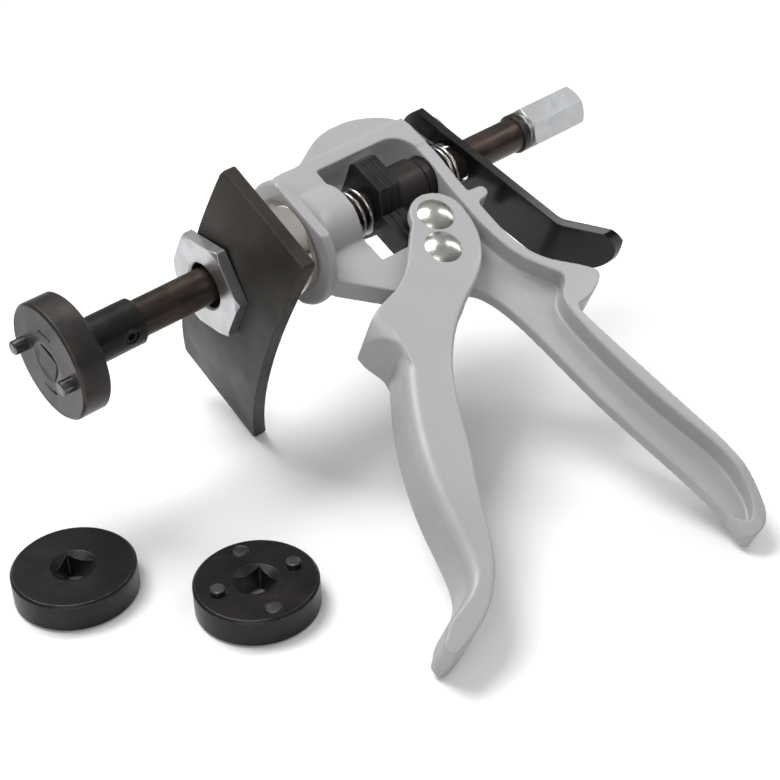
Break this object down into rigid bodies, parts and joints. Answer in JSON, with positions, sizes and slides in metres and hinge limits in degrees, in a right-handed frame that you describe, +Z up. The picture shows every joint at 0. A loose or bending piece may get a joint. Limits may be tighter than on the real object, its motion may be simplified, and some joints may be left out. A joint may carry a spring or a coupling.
{
  "type": "brake caliper piston tool",
  "caption": "Pistol-grip tool that presses or winds back a disc-brake piston, with a bowed reaction plate and loose adapter discs.",
  "frame": {"origin": "middle of the whole row's footprint, on the bench it rests on", "axes": "+X runs back along the rod as seen from above, +Z is up from the bench; the tool lies on its side, tilted 3.4 degrees nose down and 25.7 degrees about its rod"},
  "size_m": [0.266, 0.2006, 0.1165],
  "materials": {
    "grey_casting": "cool grey satin paint on a cast surface",
    "grey_casting_trigger": "cool grey satin paint on a cast surface",
    "black_bush": "black oxide, semi-gloss",
    "black_screws": "black oxide screw",
    "rivet_steel": "bright domed rivets",
    "spring_steel": "drawn spring wire",
    "gloss_black_lever": "gloss black finish",
    "zinc_plate": "bluish zinc plating",
    "dark_plate": "dark steel with worn edges",
    "chrome_sleeve": "polished chrome",
    "oxide_rod": "brown-black oxide, ground",
    "black_collar": "black oxide, turned",
    "ball_steel": "bearing steel",
    "adapter_black": "black oxide, turned rings",
    "pin_steel": "dark polished pins",
    "jam_plate_black": "black hardened steel, semi-gloss"
  },
  "bodies": {
    "frame": {"frame": "grey_casting", "rear_bush": "black_bush", "sleeve_screw": "black_screws", "drive_spring": "spring_steel", "release_spring": "spring_steel"},
    "reaction_head": {"head_screw": "zinc_plate", "reaction_plate": "dark_plate", "swivel_sleeve": "chrome_sleeve"},
    "rod_carriage": {"rod_stop_ring": "black_bush"},
    "rod": {"drive_rod": "oxide_rod", "drive_collar": "black_collar", "collar_set_screw": "black_screws", "detent_ball": "ball_steel", "hex_end": "zinc_plate"},
    "adapter": {"adapter_disc": "adapter_black", "adapter_pins": "pin_steel"},
    "trigger": {"trigger": "grey_casting_trigger", "pivot_rivet": "rivet_steel", "pusher_rivet": "rivet_steel", "pusher_sleeve": "rivet_steel"},
    "jam_pack": {"jam_plate_1": "jam_plate_black", "jam_plate_2": "jam_plate_black", "jam_plate_3": "jam_plate_black"},
    "release_lever": {"release_lever": "gloss_black_lever"},
    "spare_plain": {"spare_plain_disc": "adapter_black"},
    "spare_pinned": {"spare_pinned_disc": "adapter_black", "spare_tall_pins": "pin_steel", "spare_flush_pins": "pin_steel"}
  },
  "joints": [
    {"name": "head_turn", "type": "hinge", "parent": "frame", "child": "reaction_head", "pos_m": [-0.01952, 0.0566, 0.07462], "axis": [0.9982, 0, 0.0593], "continuous": true},
    {"name": "rod_feed", "type": "slide", "parent": "frame", "child": "rod_carriage", "axis": [-0.9982, 0, -0.0593], "range_m": [-0.027, 0.025]},
    {"name": "rod_spin", "type": "hinge", "parent": "rod_carriage", "child": "rod", "pos_m": [0.01042, 0.0566, 0.0764], "axis": [0.9982, 0, 0.0593], "continuous": true},
    {"name": "adapter_pull", "type": "slide", "parent": "rod", "child": "adapter", "axis": [-0.9982, 0, -0.0593], "range_m": [0, 0.015]},
    {"name": "trigger_squeeze", "type": "hinge", "parent": "frame", "child": "trigger", "pos_m": [0.03504, 0.02669, 0.06344], "axis": [-0.0534, -0.4337, 0.8995], "range_deg": [0, 36], "stiffness_Nm_per_rad": 0.6, "springref_deg": -28.65},
    {"name": "jam_travel", "type": "slide", "parent": "frame", "child": "jam_pack", "axis": [-0.9982, 0, -0.0593], "range_m": [0, 0.0086], "deforming": ["drive_spring"]},
    {"name": "lever_release", "type": "hinge", "parent": "frame", "child": "release_lever", "pos_m": [0.06864, 0.07327, 0.0879], "axis": [0.0534, 0.4337, -0.8995], "range_deg": [0, 8], "stiffness_Nm_per_rad": 0.4, "springref_deg": -8.59, "deforming": ["release_spring"]},
    {"name": "spare_plain_lift", "type": "slide", "parent": "frame", "child": "spare_plain", "axis": [0, 0, 1], "range_m": [0, 0.025]},
    {"name": "spare_pinned_lift", "type": "slide", "parent": "frame", "child": "spare_pinned", "axis": [0, 0, 1], "range_m": [0, 0.025]}
  ],
  "couplings": [
    {"joint": "jam_travel", "follows": "trigger_squeeze", "m_per_rad": 0.0135}
  ]
}
